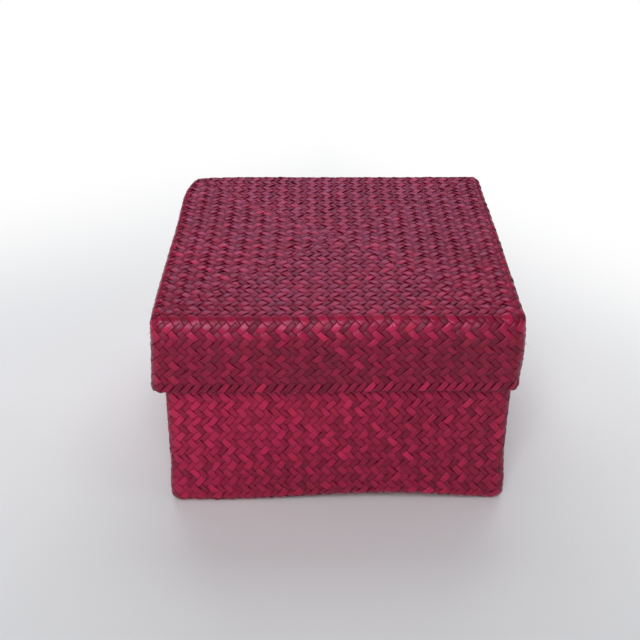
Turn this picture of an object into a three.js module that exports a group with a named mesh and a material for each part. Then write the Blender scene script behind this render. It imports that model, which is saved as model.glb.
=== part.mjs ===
// Square plaited box with a slip-over lid. The lid and the base are alike: a plaited outer layer,
// a plaited lining nested in it, and strips folded over a hoop of split cane along the open rim.
// Millimetres, +Z up, origin at the centre of the underside, lid closed.
import * as THREE from "three";

// Outside
const LID_WIDTH = 200; // lid across its walls, both ways
const LID_HEIGHT = 44; // lid top down to the lower edge of its rim
const OVERALL_HEIGHT = 125; // underside up to the lid top, closed
const LID_CORNER_RADIUS = 7; // upright corners of the lid
const BASE_CORNER_RADIUS = 5; // upright corners of the base
const LID_EDGE_RADIUS = 5; // where the lid top turns into its walls
const BASE_EDGE_RADIUS = 5; // where the underside turns into the walls

// Layers and rim
const LAYER = 1.3; // one plaited layer, two crossing strips thick
const FOLD_LEAF = 0.75; // one leaf of the strips folded over the rim
const FOLD_TUCK = 0.75; // how far the fold's leaves reach past the cane
const CANE_THICKNESS = 0.8; // split cane across its flat faces
const CANE_DEPTH = 4.2; // split cane along the wall

// Clearances
const NEST_GAP = 0.3; // between pieces that lie against each other
const LID_CLEARANCE = 1.45; // lid inside to base outside, each side

// Facets
const CORNER_STEPS = 6; // steps of an upright corner
const EDGE_STEPS = 5; // steps of a rounded edge
const CROWN_STEPS = 6; // steps over the crown of a rim
const LEAST_RADIUS = 0.4; // a nested corner is never sharper than this

// Worked out from the sizes above
const LAYERED_WALL = 2 * LAYER + NEST_GAP;
const RIM_THICKNESS = 2 * (FOLD_LEAF + NEST_GAP) + CANE_THICKNESS;
const RIM_DEPTH = FOLD_LEAF + NEST_GAP + CANE_DEPTH + FOLD_TUCK;
const LID_WALL = Math.max(LAYERED_WALL, RIM_THICKNESS);
const STEP_IN = LID_WALL + LID_CLEARANCE;
const BASE_HEIGHT = OVERALL_HEIGHT - LAYERED_WALL - seatGap();

const lidShell = {
  half: LID_WIDTH / 2,
  cornerRadius: LID_CORNER_RADIUS,
  edgeRadius: LID_EDGE_RADIUS,
  height: LID_HEIGHT,
};
const baseShell = {
  half: LID_WIDTH / 2 - STEP_IN,
  cornerRadius: Math.max(BASE_CORNER_RADIUS, LID_CORNER_RADIUS - STEP_IN),
  edgeRadius: BASE_EDGE_RADIUS,
  height: BASE_HEIGHT,
};

// Gap from the lid's lining down to the base rim: the rim's round crown has to stay clear of the
// lining's inner edge radius.
function seatGap() {
  const edge = Math.max(LID_EDGE_RADIUS - LAYERED_WALL, LEAST_RADIUS);
  const reach = edge - RIM_THICKNESS / 2;
  const across = reach - (STEP_IN - LAYERED_WALL);
  if (across <= 0) return NEST_GAP;
  const rise = Math.sqrt(Math.max((reach - NEST_GAP) ** 2 - across ** 2, 0));
  return Math.max(reach - rise, NEST_GAP);
}

// Rounded square at height z, moved in from the shell's outside by inset, anticlockwise from above.
function ring(shell, inset, z) {
  const radius = Math.max(shell.cornerRadius - inset, LEAST_RADIUS);
  const centre = shell.half - inset - radius;
  const points = [];
  for (let corner = 0; corner < 4; corner += 1) {
    const middle = (corner + 0.5) * (Math.PI / 2);
    const x = Math.sign(Math.cos(middle)) * centre;
    const y = Math.sign(Math.sin(middle)) * centre;
    for (let step = 0; step <= CORNER_STEPS; step += 1) {
      const turn = (corner + step / CORNER_STEPS) * (Math.PI / 2);
      points.push(new THREE.Vector3(x + radius * Math.cos(turn), y + radius * Math.sin(turn), z));
    }
  }
  return points;
}

// Skin at a depth inside the shell's outside, as [inset, z] pairs: flat, rounded edge, wall to top.
function skin(shell, depth, top) {
  const radius = Math.max(shell.edgeRadius - depth, LEAST_RADIUS);
  const profile = [];
  for (let step = 0; step <= EDGE_STEPS; step += 1) {
    const turn = (step / EDGE_STEPS) * (Math.PI / 2);
    const inset = depth + radius * (1 - Math.sin(turn));
    profile.push([inset, depth + radius * (1 - Math.cos(turn))]);
  }
  profile.push([depth, top]);
  return profile;
}

// Half circle over a rim, as [inset, z] pairs, from the outside in.
function crown(centre, z, radius) {
  const profile = [];
  for (let step = 0; step <= CROWN_STEPS; step += 1) {
    const turn = (step / CROWN_STEPS) * Math.PI;
    profile.push([centre - radius * Math.cos(turn), z + radius * Math.sin(turn)]);
  }
  return profile;
}

// Solid between rings that follow a profile of [inset, z] pairs, up the outside and down the inside.
// It closes on itself as a hoop, or ends in two flat panels as a tray.
function loft(shell, profile, isHoop) {
  const rings = profile.map(([inset, z]) => ring(shell, inset, z));
  const around = rings[0].length;
  const points = rings.flat();
  const faces = [];
  const last = isHoop ? rings.length : rings.length - 1;
  for (let r = 0; r < last; r += 1) {
    const low = r * around;
    const high = ((r + 1) % rings.length) * around;
    for (let i = 0; i < around; i += 1) {
      const next = (i + 1) % around;
      faces.push(low + i, low + next, high + next);
      faces.push(low + i, high + next, high + i);
    }
  }
  if (!isHoop) {
    const under = points.push(new THREE.Vector3(0, 0, profile[0][1])) - 1;
    const over = points.push(new THREE.Vector3(0, 0, profile[last][1])) - 1;
    for (let i = 0; i < around; i += 1) {
      const next = (i + 1) % around;
      faces.push(under, next, i);
      faces.push(over, last * around + i, last * around + next);
    }
  }
  const geometry = new THREE.BufferGeometry().setFromPoints(points);
  geometry.setIndex(faces);
  geometry.computeVertexNormals();
  return geometry;
}

// One plaited layer, its outer skin at a depth inside the shell's outside, ending below the rim fold.
function layer(shell, depth) {
  const top = shell.height - RIM_DEPTH - NEST_GAP;
  const outside = skin(shell, depth, top);
  const inside = skin(shell, depth + LAYER, top);
  return loft(shell, [...outside, ...inside.reverse()], false);
}

// Strips folded over the rim: two leaves joined by a round crown, open towards the panel.
function rimFold(shell) {
  const foot = shell.height - RIM_DEPTH;
  const middle = RIM_THICKNESS / 2;
  const turnAt = shell.height - middle;
  const outside = crown(middle, turnAt, middle);
  const inside = crown(middle, turnAt, middle - FOLD_LEAF).reverse();
  const profile = [
    [0, foot],
    ...outside,
    [RIM_THICKNESS, foot],
    [RIM_THICKNESS - FOLD_LEAF, foot],
    ...inside,
    [FOLD_LEAF, foot],
  ];
  return loft(shell, profile, true);
}

// Hoop of split cane inside the rim fold, both edges rounded.
function rimCane(shell) {
  const middle = RIM_THICKNESS / 2;
  const radius = CANE_THICKNESS / 2;
  const top = shell.height - middle;
  const foot = top + 2 * radius - CANE_DEPTH;
  const upper = crown(middle, top, radius);
  const lower = crown(middle, 0, radius).map(([inset, z]) => [inset, foot - z]);
  return loft(shell, [...upper, ...lower.reverse()], true);
}

function piece(name, geometry, color, roughness) {
  const material = new THREE.MeshStandardMaterial({ color, roughness, metalness: 0 });
  const mesh = new THREE.Mesh(geometry, material);
  mesh.name = name;
  return mesh;
}

// One half of the box, standing on its panel with the rim up.
function half(name, shell) {
  const group = new THREE.Group();
  group.add(piece(`${name}_outer_weave`, layer(shell, 0), 0x96264a, 0.5));
  group.add(piece(`${name}_lining_weave`, layer(shell, LAYER + NEST_GAP), 0x7d2440, 0.6));
  group.add(piece(`${name}_rim_fold`, rimFold(shell), 0x8a2346, 0.5));
  group.add(piece(`${name}_rim_cane`, rimCane(shell), 0xc9a878, 0.6));
  return group;
}

const base = half("base", baseShell);
const lid = half("lid", lidShell);
lid.rotation.x = Math.PI;
lid.position.z = OVERALL_HEIGHT;

const box = new THREE.Group();
box.add(base, lid);

export default box;
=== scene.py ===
"""Dresses the plaited box: every leaf strip of its plaits is a ribbon of its own.

The strips run on the bias over a panel, round its edge and along the walls. They pass over two
strips and under two, so that the slanted floats lie in level rows round the box.
"""

import logging
import math
from collections.abc import Callable
from dataclasses import dataclass, field
from enum import Enum

import bpy
import numpy as np
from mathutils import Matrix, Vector


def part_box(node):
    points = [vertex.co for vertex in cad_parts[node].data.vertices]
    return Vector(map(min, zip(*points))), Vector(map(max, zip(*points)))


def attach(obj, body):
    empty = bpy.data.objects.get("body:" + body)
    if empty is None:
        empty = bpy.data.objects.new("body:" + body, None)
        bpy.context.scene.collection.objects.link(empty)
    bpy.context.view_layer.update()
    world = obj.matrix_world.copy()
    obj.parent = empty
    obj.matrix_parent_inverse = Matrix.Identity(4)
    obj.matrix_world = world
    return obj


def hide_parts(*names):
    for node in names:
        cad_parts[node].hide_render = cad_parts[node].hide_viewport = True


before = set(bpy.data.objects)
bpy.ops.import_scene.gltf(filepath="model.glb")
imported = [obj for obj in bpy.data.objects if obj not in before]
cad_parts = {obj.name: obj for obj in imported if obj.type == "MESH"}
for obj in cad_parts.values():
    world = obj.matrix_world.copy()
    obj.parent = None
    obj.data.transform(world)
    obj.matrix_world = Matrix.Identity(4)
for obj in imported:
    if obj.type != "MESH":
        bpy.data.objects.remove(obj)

LOG = logging.getLogger("plaited_box")
MM = 0.001
FACES = 4
QUARTER = math.pi / 2
ARC_SAVING = 1.0 - math.pi / 4
LEAST_RADIUS = 0.3 * MM
# Radians over which the start of a wave is drawn, and range of the numbers that set grain apart.
FULL_TURN = 6.28
GRAIN_SEEDS = 100
# Half widths up to which the give of the box goes on growing.
PAST_EDGE = 1.2
# Share of the bake map that stays free at the ends of a ribbon's band and beside it.
MAP_END = 0.01
BAND_GAP = 0.06

Array = np.ndarray
Colour = tuple[float, float, float, float]
Triple = tuple[float, float, float]


class Half(Enum):
    """The two bodies of the box, by their names in the frame."""

    BASE = "base"
    LID = "lid"


class Slot(Enum):
    """The record's material slots."""

    OUTER = "outer_strip"
    LINING = "lining_strip"
    RIM = "rim_strip"
    CANE = "cane"


class Way(Enum):
    """The two crossing directions of the strips, seen on a panel."""

    RISING = 1
    FALLING = -1


class LeafSide(Enum):
    """The side of the leaf that shows: strips are laid turn about, face out and back out."""

    FACE = 0
    BACK = 1

    @property
    def half_step(self) -> float:
        """Half of what sets the two sides apart: above 0 face out, below 0 back out."""
        return 0.5 - self.value


class Throw(Enum):
    """What a lamp gives: plain light, reflections or both."""

    LIGHT = "light"
    GLINT = "glint"
    BOTH = "both"


Leaf = dict[LeafSide, bpy.types.Material]


@dataclass(frozen=True)
class Layers:
    """Depths of the double wall, as the solids have them.

    Attributes:
        layer: Thickness of one plaited layer.
        gap: Room between the two layers.
        rim_thickness: Thickness of the folded rim.
        rim_depth: Depth of the folded rim.
        lid_corner: Radius of the lid's upright corners.
        base_corner: Radius of the base's upright corners.
        edge: Radius of the edge round a panel.
    """

    layer: float = 1.3 * MM
    gap: float = 0.3 * MM
    rim_thickness: float = 2.9 * MM
    rim_depth: float = 6.0 * MM
    lid_corner: float = 7.0 * MM
    base_corner: float = 5.0 * MM
    edge: float = 5.0 * MM

    @property
    def outer_middle(self) -> float:
        """Depth of the middle of the outer plait."""
        return self.layer / 2

    @property
    def lining_middle(self) -> float:
        """Depth of the middle of the lining."""
        return 1.5 * self.layer + self.gap


class NodeDesk:
    """Adds and links the nodes of one material."""

    def __init__(self, name: str) -> None:
        """Starts an empty material.

        Args:
            name: Name of the material.
        """
        self.material = bpy.data.materials.new(name)
        self.material.use_nodes = True
        self.tree = self.material.node_tree
        self.tree.nodes.clear()
        self.output = self.tree.nodes.new("ShaderNodeOutputMaterial")

    def add(self, kind: str, **settings: object) -> bpy.types.Node:
        """Adds a node.

        Args:
            kind: Node type.
            settings: Properties of the node, by name.

        Returns:
            The new node.
        """
        node = self.tree.nodes.new(kind)
        for key, value in settings.items():
            setattr(node, key, value)
        return node

    def link(self, source: bpy.types.NodeSocket, target: bpy.types.NodeSocket) -> None:
        """Joins two sockets."""
        self.tree.links.new(source, target)

    def math(self, kind: str, first: object, second: float, third: float = 0.0) -> object:
        """Adds a sum on one socket.

        Args:
            kind: Operation of the Math node.
            first: Socket that feeds it.
            second: Its second number.
            third: Its third number, where the operation has one.

        Returns:
            The result's socket.
        """
        node = self.add("ShaderNodeMath", operation=kind)
        self.link(first, node.inputs[0])
        node.inputs[1].default_value = second
        node.inputs[2].default_value = third
        return node.outputs[0]

    def join(self, kind: str, first: object, second: object) -> object:
        """Adds a sum on two sockets.

        Args:
            kind: Operation of the Math node.
            first: Socket that feeds it.
            second: The other socket.

        Returns:
            The result's socket.
        """
        node = self.add("ShaderNodeMath", operation=kind)
        self.link(first, node.inputs[0])
        self.link(second, node.inputs[1])
        return node.outputs[0]

    def span(self, value: object, start: float, end: float, **settings: object) -> bpy.types.Node:
        """Adds a node that maps a range of values onto 0 to 1.

        Args:
            value: Socket that feeds it.
            start: Value that gives 0.
            end: Value that gives 1.
            settings: Properties of the node, by name.

        Returns:
            The new node.
        """
        node = self.add("ShaderNodeMapRange", **settings)
        self.link(value, node.inputs["Value"])
        node.inputs["From Min"].default_value = start
        node.inputs["From Max"].default_value = end
        return node

    def surface(
        self, shader: bpy.types.Node, relief: object, strength: float, height: float
    ) -> None:
        """Gives a shader fine relief and makes it the surface.

        Args:
            shader: The shader.
            relief: Socket of the relief.
            strength: How much of the relief shows.
            height: Height of the relief.
        """
        bump = self.add("ShaderNodeBump")
        bump.inputs["Strength"].default_value = strength
        bump.inputs["Distance"].default_value = height
        self.link(relief, bump.inputs["Height"])
        self.link(bump.outputs["Normal"], shader.inputs["Normal"])
        self.link(shader.outputs["BSDF"], self.output.inputs["Surface"])

    def noise(self, vector: object, stretch: Triple, detail: float) -> object:
        """Adds noise on a stretched vector.

        Args:
            vector: Socket of the vector.
            stretch: Cycles per unit along each axis.
            detail: Detail of the noise.

        Returns:
            The noise's socket, about 0.5 on average.
        """
        scaled = self.add("ShaderNodeVectorMath", operation="MULTIPLY")
        self.link(vector, scaled.inputs[0])
        scaled.inputs[1].default_value = stretch
        noise = self.add("ShaderNodeTexNoise", noise_dimensions="3D")
        self.link(scaled.outputs[0], noise.inputs["Vector"])
        noise.inputs["Scale"].default_value = 1.0
        noise.inputs["Detail"].default_value = detail
        return noise.outputs["Fac"]

    def ramp(self, factor: object, stops: tuple[tuple[float, Colour], ...]) -> object:
        """Adds a colour ramp.

        Args:
            factor: Socket that drives it.
            stops: Place and colour of each stop.

        Returns:
            The colour's socket.
        """
        node = self.add("ShaderNodeValToRGB")
        self.link(factor, node.inputs["Fac"])
        elements = node.color_ramp.elements
        while len(elements) < len(stops):
            elements.new(0.5)
        for element, (place, colour) in zip(elements, stops):
            element.position = place
            element.color = colour
        return node.outputs["Color"]


@dataclass(frozen=True)
class LeafFinish:
    """Dyed leaf strip: satin, with fibres along its length and dye that took unevenly.

    Attributes:
        name: Name of the material.
        shade: Colour of the darkest strips.
        body: Colour of the common strips.
        light: Colour of the lightest strips.
        roughness: Mean roughness.
        gloss: Strength of the satin reflection.
        gloss_tint: Colour of that reflection.
        sheen_tint: Colour of the soft sheen.
        streak: How much the fibres change the tone.
        blotch: How much the dye changes along a strip.
        mottle: How much the dye changes slowly over the box.
        warmth: How far some patches turn to a warmer red.
        warm_tint: What a warm patch multiplies the colour by.
        patch_start: Noise where a warm patch starts.
        patch_end: Noise where it is full.
        sheen: Strength of the soft sheen at a low angle.
        sheen_rough: Roughness of that sheen.
        tucked: Painted shade: near black colour of strip ends tucked away under the rim.
        fibre_grain: Cycles per metre of the fibres: along a strip, across it, from strip to strip.
        dye_grain: The same of the dye.
        patch_grain: The same of the warm patches.
        mottle_grain: Cycles per metre of the slow change over the box.
        fibre_rough: How much the fibres change the roughness.
        patch_rough: How much the patches change it.
        ior: Index of refraction.
        relief: How much of the fibres' relief shows.
        relief_height: Height of that relief.
    """

    name: str
    shade: Colour
    body: Colour
    light: Colour
    roughness: float = 0.40
    gloss: float = 0.15
    gloss_tint: Colour = (1.0, 0.72, 1.0, 1.0)
    sheen_tint: Colour = (1.0, 0.25, 1.0, 1.0)
    streak: float = 0.40
    blotch: float = 0.42
    mottle: float = 0.30
    warmth: float = 0.5
    warm_tint: Colour = (1.0, 1.0, 0.55, 1.0)
    patch_start: float = 0.5
    patch_end: float = 0.75
    sheen: float = 0.05
    sheen_rough: float = 0.4
    tucked: Colour = (0.02, 0.002, 0.005, 1.0)
    fibre_grain: Triple = (45.0, 850.0, 7.0)
    dye_grain: Triple = (38.0, 160.0, 11.0)
    patch_grain: Triple = (55.0, 90.0, 23.0)
    mottle_grain: Triple = (24.0, 24.0, 24.0)
    fibre_rough: float = 0.20
    patch_rough: float = 0.60
    ior: float = 1.46
    relief: float = 0.8
    relief_height: float = 0.20 * MM

    @staticmethod
    def about_zero(desk: NodeDesk, noise: object, share: float) -> object:
        """Scales noise by a share and moves its middle to 0."""
        return desk.math("MULTIPLY_ADD", noise, share, -share / 2)

    def colour(self, desk: NodeDesk, grain: object, fibres: object) -> object:
        """Builds the colour from the tone, with painted shade where a strip end is tucked away.

        Args:
            desk: The material's nodes.
            grain: Socket of the place in the grain.
            fibres: Socket of the fibres' noise.

        Returns:
            The colour's socket.
        """
        # The tone carries painted light and shade as well as the strips' own tone.
        tone = desk.add("ShaderNodeAttribute", attribute_name="tone").outputs["Fac"]
        place = desk.add("ShaderNodeTexCoord").outputs["Object"]
        fibre_tone = self.about_zero(desk, fibres, self.streak)
        dye_tone = self.about_zero(desk, desk.noise(grain, self.dye_grain, 2.0), self.blotch)
        slow_tone = self.about_zero(desk, desk.noise(place, self.mottle_grain, 2.0), self.mottle)
        quick = desk.join("ADD", tone, fibre_tone)
        mixed = desk.join("ADD", quick, desk.join("ADD", dye_tone, slow_tone))
        toned = desk.ramp(mixed, ((0.0, self.shade), (0.5, self.body), (1.0, self.light)))
        # A tone below 0 marks a tucked end, which gets painted shade: the near black tucked colour.
        unshaded = desk.math("ADD", tone, 1.0)
        unshaded.node.use_clamp = True
        ends = desk.add("ShaderNodeMix", data_type="RGBA")
        desk.link(unshaded, ends.inputs["Factor"])
        ends.inputs["A"].default_value = self.tucked
        desk.link(toned, ends.inputs["B"])
        return ends.outputs["Result"]

    def material(self) -> bpy.types.Material:
        """Builds the material.

        Returns:
            The new material.
        """
        desk = NodeDesk(self.name)
        grain = desk.add("ShaderNodeAttribute", attribute_name="grain").outputs["Vector"]
        fibres = desk.noise(grain, self.fibre_grain, 3.0)
        patches = desk.noise(grain, self.patch_grain, 1.0)
        patch = desk.span(
            patches, self.patch_start, self.patch_end, interpolation_type="SMOOTHSTEP"
        )
        patch.inputs["To Max"].default_value = self.warmth
        warm = desk.add("ShaderNodeMix", data_type="RGBA", blend_type="MULTIPLY")
        desk.link(patch.outputs["Result"], warm.inputs["Factor"])
        desk.link(self.colour(desk, grain, fibres), warm.inputs["A"])
        warm.inputs["B"].default_value = self.warm_tint

        shader = desk.add("ShaderNodeBsdfPrincipled")
        desk.link(warm.outputs["Result"], shader.inputs["Base Color"])
        smooth = self.roughness - (self.fibre_rough + self.patch_rough) / 2
        lines = desk.math("MULTIPLY_ADD", fibres, self.fibre_rough, smooth)
        dull = desk.math("MULTIPLY", patches, self.patch_rough)
        desk.link(desk.join("ADD", lines, dull), shader.inputs["Roughness"])
        shader.inputs["IOR"].default_value = self.ior
        shader.inputs["Specular IOR Level"].default_value = self.gloss
        shader.inputs["Specular Tint"].default_value = self.gloss_tint
        shader.inputs["Sheen Weight"].default_value = self.sheen
        shader.inputs["Sheen Roughness"].default_value = self.sheen_rough
        shader.inputs["Sheen Tint"].default_value = self.sheen_tint
        desk.surface(shader, fibres, self.relief, self.relief_height)
        return desk.material


@dataclass(frozen=True)
class CaneFinish:
    """Bare split cane with fine lines along the hoop.

    Attributes:
        name: Name of the material.
        dark: Colour of the dark lines.
        pale: Colour of the pale ones.
        dark_at: Noise that gives the dark colour.
        pale_at: Noise that gives the pale one.
        roughness: Its roughness.
        grain: Cycles per metre of the lines.
        relief: How much of their relief shows.
        relief_height: Height of that relief.
    """

    name: str = "split_cane"
    dark: Colour = (0.36, 0.22, 0.09, 1.0)
    pale: Colour = (0.62, 0.43, 0.22, 1.0)
    dark_at: float = 0.3
    pale_at: float = 0.7
    roughness: float = 0.55
    grain: Triple = (30.0, 30.0, 2600.0)
    relief: float = 0.3
    relief_height: float = 0.1 * MM

    def material(self) -> bpy.types.Material:
        """Builds the material.

        Returns:
            The new material.
        """
        desk = NodeDesk(self.name)
        place = desk.add("ShaderNodeTexCoord").outputs["Object"]
        lines = desk.noise(place, self.grain, 3.0)
        shader = desk.add("ShaderNodeBsdfPrincipled")
        colour = desk.ramp(lines, ((self.dark_at, self.dark), (self.pale_at, self.pale)))
        desk.link(colour, shader.inputs["Base Color"])
        shader.inputs["Roughness"].default_value = self.roughness
        desk.surface(shader, lines, self.relief, self.relief_height)
        return desk.material


CRIMSON_FACE = LeafFinish(
    "crimson_leaf_face",
    shade=(0.18, 0.010, 0.029, 1.0),
    body=(0.295, 0.010, 0.043, 1.0),
    light=(0.48, 0.017, 0.074, 1.0),
    roughness=0.30,
    gloss=0.31,
)
CRIMSON_BACK = LeafFinish(
    "crimson_leaf_back",
    shade=(0.15, 0.009, 0.025, 1.0),
    body=(0.235, 0.009, 0.034, 1.0),
    light=(0.35, 0.013, 0.052, 1.0),
    roughness=0.38,
    gloss=0.26,
)
DULL_CRIMSON = LeafFinish(
    "dull_crimson_leaf",
    shade=(0.075, 0.014, 0.022, 1.0),
    body=(0.17, 0.020, 0.042, 1.0),
    light=(0.30, 0.032, 0.075, 1.0),
    roughness=0.56,
)


@dataclass(frozen=True)
class Slouch:
    """The softness of the real box: what its panels and walls give, away from a true square.

    Attributes:
        half_width: Half the width of what gives.
        skew: How far the right front corner stands back.
        flare: How far the left wall's free edge leans out.
        flare_top: Height where the lean starts.
        flare_fall: Depth over which it grows.
        arch: How far the front of the underside lifts.
        arch_at: Place of that lift along the front.
        arch_reach: Half its length, on the right.
        arch_left: Its reach on the left, as a share of that on the right.
        arch_fall: Height over which it fades.
        crown: How far the panel's middle and back stand above its front edge.
        sag: How far the free edge hangs lower than it should.
        bulge: How far the walls swell just above the underside.
        bulge_at: Height of that swelling.
        bulge_reach: Half its height.
        bulge_right: Share of it that the right wall has.
        far_left: How far the far left corner is drawn in, and half as far down.
        far_reach: Length over which that fades.
        belly_right: How far the right wall swells between panel and free edge.
        foot_right: How far the right wall stands out below the lid.
        foot_top: Height below which it does.
        foot_ease: Depth over which it comes out.
        brow: How far the front wall swings out just below the panel.
        brow_back: Share of that by which its top stands back.
        brow_reach: Depth over which it swings out.
        wave: Size of the slow waves in all the walls.
        wave_across: Radians per metre of the waves to the side, along y and z.
        wave_back: The same of the waves to the back, along x and z, and where they start.
        wave_up: The same of the waves upwards, along x, then along y, each with its start.
    """

    half_width: float
    skew: float = 2.4 * MM
    flare: float = 0.0
    flare_top: float = 0.0
    flare_fall: float = 1.0
    arch: float = 0.0
    arch_at: float = 33.0 * MM
    arch_reach: float = 68.0 * MM
    arch_left: float = 1.6
    arch_fall: float = 24.0 * MM
    crown: float = 0.0
    sag: float = 0.0
    bulge: float = 0.0
    bulge_at: float = 9.0 * MM
    bulge_reach: float = 13.0 * MM
    bulge_right: float = 0.6
    far_left: float = 0.0
    far_reach: float = 16.0 * MM
    belly_right: float = 0.0
    foot_right: float = 0.0
    foot_top: float = 86.0 * MM
    foot_ease: float = 10.0 * MM
    brow: float = 0.0
    brow_back: float = 0.3
    brow_reach: float = 16.0 * MM
    wave: float = 0.25 * MM
    wave_across: tuple[float, float] = (47.0, 61.0)
    wave_back: Triple = (53.0, 44.0, 1.3)
    wave_up: tuple[float, float, float, float] = (39.0, 1.1, 43.0, 0.4)

    def give(self, points: Array) -> Array:
        """Moves points as the soft box does.

        Args:
            points: Points in the shared frame, one to a row.

        Returns:
            The moved points.
        """
        x, y, z = points[:, 0], points[:, 1], points[:, 2]
        side = np.clip(x / self.half_width, -PAST_EDGE, PAST_EDGE)
        front = np.clip(0.5 - 0.5 * y / self.half_width, 0.0, (1 + PAST_EDGE) / 2)
        moved = points.copy()
        moved[:, 1] += self.skew * (0.5 + 0.5 * side) ** 2 * front
        lean = np.clip((self.flare_top - z) / self.flare_fall, 0.0, PAST_EDGE)
        moved[:, 0] -= self.flare * lean * np.clip(-side, 0.0, 1.0) ** 2
        moved[:, 2] += self.crown * (1 - np.clip(lean, 0.0, 1.0)) * (1 - front**2)
        moved[:, 2] -= self.sag * np.clip(lean, 0.0, 1.0)

        high = np.clip(1 - (self.flare_top - z) / self.brow_reach, 0.0, 1.0)
        out = self.brow * (high**2 + self.brow_back - 1)
        moved[:, 1] += out * np.clip(front, 0.0, 1.0) ** 8

        reach = np.where(x < self.arch_at, self.arch_left * self.arch_reach, self.arch_reach)
        hump = np.cos(QUARTER * np.clip((x - self.arch_at) / reach, -1.0, 1.0)) ** 2
        low = np.exp(-np.clip(z, 0.0, None) / self.arch_fall)
        moved[:, 2] += self.arch * hump * low * front**3
        swell = self.bulge * np.exp(-(((z - self.bulge_at) / self.bulge_reach) ** 2))
        moved[:, 0] += swell * np.where(side < 0, -1.0, self.bulge_right) * np.abs(side) ** 6
        deep = np.clip(np.abs(y) / self.half_width, 0.0, PAST_EDGE)
        moved[:, 1] += swell * np.sign(y) * deep**6
        far = np.exp(-(((y - self.half_width) / self.far_reach) ** 2))
        drawn = self.far_left * far * np.clip(-side, 0.0, 1.0) ** 4
        moved[:, 0] += drawn
        moved[:, 2] -= drawn / 2
        belly = self.belly_right * np.sin(math.pi * np.clip(lean, 0.0, 1.0))
        moved[:, 0] += belly * np.clip(side, 0.0, 1.0) ** 3
        below = np.clip((self.foot_top - z) / self.foot_ease, 0.0, 1.0)
        moved[:, 0] += self.foot_right * below * np.clip(side, 0.0, 1.0) ** 3

        along_y, along_z = self.wave_across
        moved[:, 0] += self.wave * np.sin(along_y * y + along_z * z)
        along_x, along_z, start = self.wave_back
        moved[:, 1] += self.wave * np.sin(along_x * x + along_z * z + start)
        along_x, start_x, along_y, start_y = self.wave_up
        moved[:, 2] += self.wave * np.sin(along_x * x + start_x) * np.sin(along_y * y + start_y)
        return moved


@dataclass(frozen=True)
class SoftShell:
    """One skin of a box half: a panel that turns over a round edge into four walls.

    A place on it is a face number, a length along that face from its middle, anticlockwise from
    above, and a length down from the middle of the edge: negative on the panel.

    Attributes:
        half_width: Half the width over the walls.
        height: From the panel to the free edge.
        corner: Radius of the upright corners.
        edge: Radius of the edge round the panel.
        panel_z: Height of the panel.
        rise: 1 where the walls stand on the panel, -1 where they hang from it.
        row_share: Height of a row on the wall, as a share of its width.
        slouch: The softness of this half.
    """

    half_width: float
    height: float
    corner: float
    edge: float
    panel_z: float
    rise: float
    row_share: float
    slouch: Slouch

    @property
    def half_turn(self) -> float:
        """Half the length of the round edge."""
        return self.edge * math.pi / 4

    @property
    def half_lattice(self) -> float:
        """Half the length of a side, measured over the panel to the middle of the edge."""
        return self.half_width - self.edge + self.half_turn

    def down_at(self, depth: float) -> float:
        """Length down from the middle of the edge, for a depth below the panel."""
        return (depth - self.edge) / self.row_share + self.half_turn

    def ring(self, face: Array, along: Array, half: Array, corner: Array) -> tuple[Array, Array]:
        """Finds places on a rounded square.

        Args:
            face: Face number of each place.
            along: Length along that face from its middle.
            half: Half the width of the square.
            corner: Radius of its corners.

        Returns:
            The places and their outward directions, as pairs of x and y.
        """
        side = half - ARC_SAVING * corner
        steps = np.floor((along + side) / (2 * side))
        along = along - 2 * side * steps
        straight = half - corner
        turn = np.clip((np.abs(along) - straight) / corner, 0.0, None)
        out = np.where(turn > 0, straight + corner * np.cos(turn), half)
        across = np.where(turn > 0, np.sign(along) * (straight + corner * np.sin(turn)), along)
        place = self.turned(face + steps, out, across)
        away = self.turned(face + steps, np.cos(turn), np.sign(along) * np.sin(turn))
        return place, away

    @staticmethod
    def turned(face: Array, out: Array, across: Array) -> Array:
        """Turns places on face 0, which looks along +X, to their own face."""
        cosine = np.cos(face * QUARTER)
        sine = np.sin(face * QUARTER)
        return np.stack([out * cosine - across * sine, out * sine + across * cosine], 1)

    def place(self, face: Array, along: Array, down: Array) -> tuple[Array, Array]:
        """Finds places on the skin.

        Args:
            face: Face number of each place.
            along: Length along that face from its middle.
            down: Length down from the middle of the edge.

        Returns:
            The points and the outward normals.
        """
        turn = np.clip((down + self.half_turn) / self.edge, 0.0, QUARTER)
        inward = np.minimum(down + self.half_turn, 0.0)
        wall = np.maximum(down - self.half_turn, 0.0) * self.row_share
        drawn_in = self.edge * (1 - np.sin(turn))
        half = self.half_width - drawn_in + inward
        corner = np.maximum(self.corner - drawn_in, LEAST_RADIUS)
        lattice = self.half_lattice + np.minimum(down, 0.0)
        share = (half - ARC_SAVING * corner) / np.maximum(lattice, self.edge)

        round_place, away = self.ring(face, along * share, np.maximum(half, self.edge), corner)
        flat_place = self.turned(face, half, along)
        on_panel = (inward < 0)[:, None]
        place = np.where(on_panel, flat_place, round_place)
        depth = self.edge * (1 - np.cos(turn)) + wall
        points = np.column_stack([place, self.panel_z + self.rise * depth])
        normals = np.column_stack([away * np.sin(turn)[:, None], -self.rise * np.cos(turn)])
        return self.slouch.give(points), normals


@dataclass(frozen=True)
class Twill:
    """Over two, under two, in rows that run round the box.

    Attributes:
        phase: Moves the pattern by rows.
    """

    phase: int

    def over(self, row: Array) -> Array:
        """Whether the strips that slant anticlockwise pass over, for each row."""
        return (row + self.phase) % 4 < 2


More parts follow.
